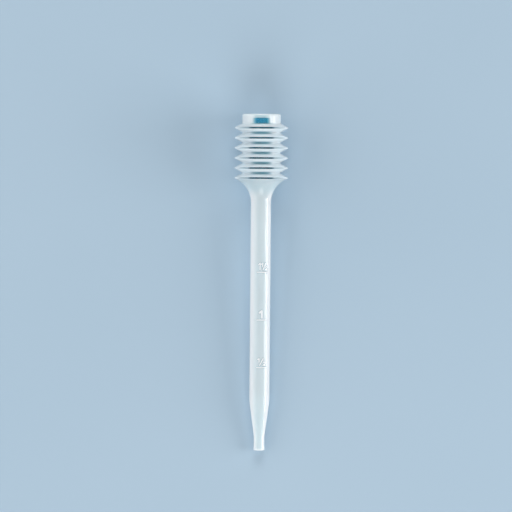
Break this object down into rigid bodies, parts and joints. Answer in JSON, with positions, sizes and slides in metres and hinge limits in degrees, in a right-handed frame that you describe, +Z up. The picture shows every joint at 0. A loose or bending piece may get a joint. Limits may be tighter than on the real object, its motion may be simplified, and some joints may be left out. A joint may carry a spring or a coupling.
{
  "type": "plastic dropper pipette",
  "caption": "One-piece translucent plastic dropping pipette with a bellows bulb, straight graduated stem and tapered open nozzle, lying on its side.",
  "frame": {"origin": "on the table under the middle of the lying pipette: the centre of its bounding box's underside", "axes": "+Y runs from the nozzle to the bulb, along the table under the pipette's axis, +X is to the right of the marks seen from above, and +Z is up. The pipette's own axis rises 4.29 degrees from the nozzle to the bulb"},
  "size_m": [0.019, 0.1202, 0.0203],
  "materials": {
    "polyethylene": "milky translucent low-density polyethylene with a soft waxy gloss"
  },
  "bodies": {
    "root": {"pipette": "polyethylene"}
  },
  "joints": []
}
